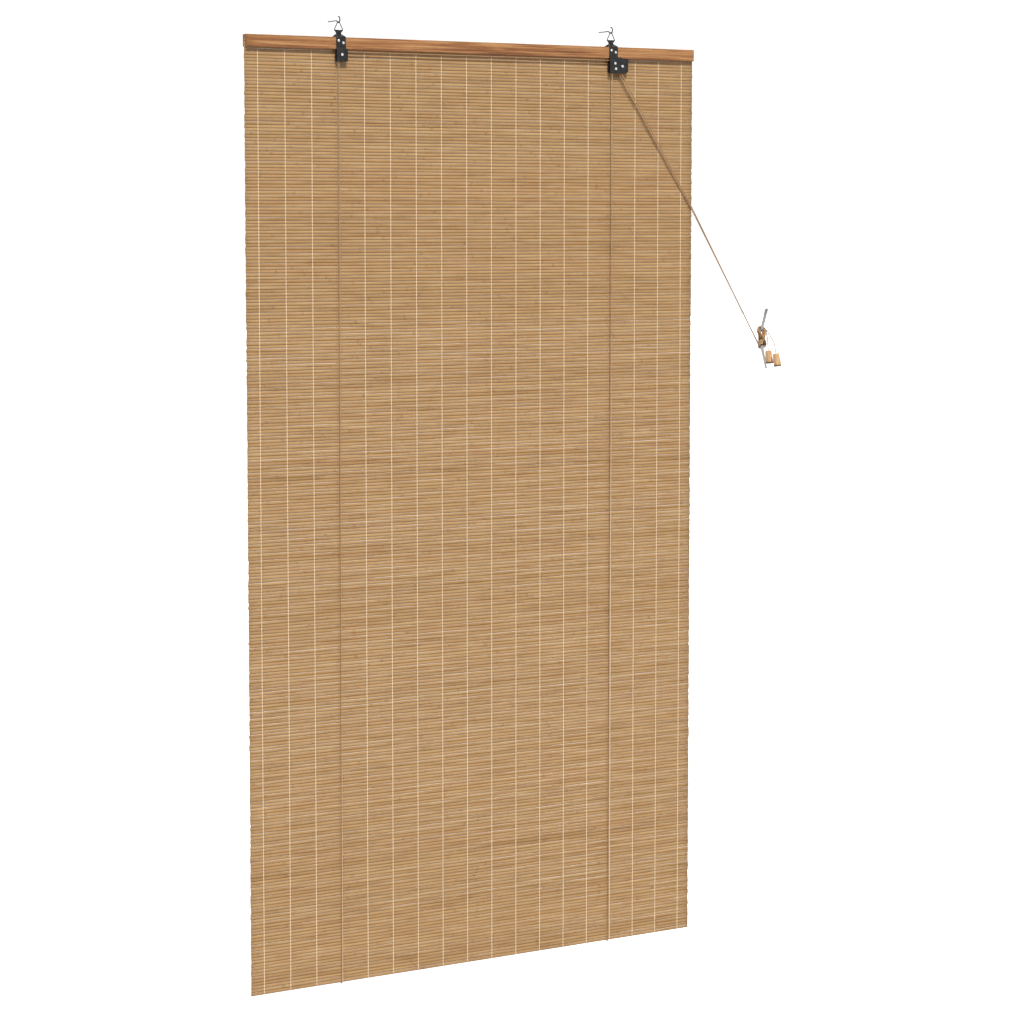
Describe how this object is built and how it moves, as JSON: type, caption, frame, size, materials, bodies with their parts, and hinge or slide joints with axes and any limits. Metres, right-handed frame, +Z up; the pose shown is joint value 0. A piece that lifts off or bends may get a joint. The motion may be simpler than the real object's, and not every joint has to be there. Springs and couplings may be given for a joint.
{
  "type": "bamboo roll up blind",
  "caption": "Bamboo slat blind on a wooden headrail, hung from wall hooks by wire links, with pulley, cord lock, lift cords tied off on a wall cleat and wooden cord knobs.",
  "frame": {"origin": "on the wall, midway between the two hook shanks, at their height", "axes": "X along the headrail, to the right seen from the room; +Y into the wall; +Z up"},
  "size_m": [1.4703, 0.0749, 2.2524],
  "materials": {
    "bamboo": "dry split bamboo, brown, satin skin",
    "warp_thread": "pale twisted thread",
    "rail_wood": "stained and lacquered softwood",
    "black_steel": "black stoved finish",
    "rivet_steel": "bright zinc",
    "hook_steel": "dark bronzed wire",
    "roller_plastic": "black nylon",
    "cam_steel": "dark cast zinc",
    "cord": "braided tan cord",
    "cleat_steel": "grey zinc",
    "knob_wood": "light turned wood, clear varnish"
  },
  "bodies": {
    "wall_fixings": {"left_wall_hook": "hook_steel", "right_wall_hook": "hook_steel", "left_link": "hook_steel", "right_link": "hook_steel", "cleat": "cleat_steel", "cleat_screws": "rivet_steel", "cord_wrap": "cord", "long_pull_cord": "cord", "short_pull_cord": "cord", "knob_cord_1": "cord", "knob_cord_2": "cord", "knob_knot_1": "cord", "knob_knot_2": "cord", "cord_knob_1": "knob_wood", "cord_knob_2": "knob_wood"},
    "blind": {"bamboo_slats": "bamboo", "warp_threads": "warp_thread", "front_batten": "rail_wood", "back_batten": "rail_wood", "rail_brads": "rivet_steel", "left_hanger": "black_steel", "right_hanger": "black_steel", "left_rear_plate": "black_steel", "lock_rear_plate": "black_steel", "left_pulley_axle": "rivet_steel", "lock_rivets": "rivet_steel", "lock_guide_pin": "rivet_steel", "front_screws": "rivet_steel", "back_screws": "rivet_steel", "long_lift_cord": "cord", "short_lift_cord": "cord", "lift_cord_knots": "cord"},
    "left_pulley": {"left_pulley": "roller_plastic"},
    "lock_upper_roller": {"lock_upper_roller": "roller_plastic"},
    "lock_lower_roller": {"lock_lower_roller": "roller_plastic"},
    "lock_cam": {"lock_cam": "cam_steel"}
  },
  "joints": [
    {"name": "blind_swing", "type": "hinge", "parent": "wall_fixings", "child": "blind", "pos_m": [0, -0.036, -0.02365], "axis": [-1, 0, 0], "range_deg": [-0.8, 12], "deforming": ["long_pull_cord", "short_pull_cord"]},
    {"name": "left_pulley_spin", "type": "hinge", "parent": "blind", "child": "left_pulley", "pos_m": [-0.3635, -0.0477, -0.07805], "axis": [0, 1, 0], "continuous": true},
    {"name": "upper_roller_spin", "type": "hinge", "parent": "blind", "child": "lock_upper_roller", "pos_m": [0.368, -0.0477, -0.07775], "axis": [0, 1, 0], "continuous": true},
    {"name": "lower_roller_spin", "type": "hinge", "parent": "blind", "child": "lock_lower_roller", "pos_m": [0.37, -0.0477, -0.09075], "axis": [0, 1, 0], "continuous": true},
    {"name": "lock_cam_turn", "type": "hinge", "parent": "blind", "child": "lock_cam", "pos_m": [0.3887, -0.0477, -0.08435], "axis": [0, 1, 0], "range_deg": [-20, 0]}
  ]
}
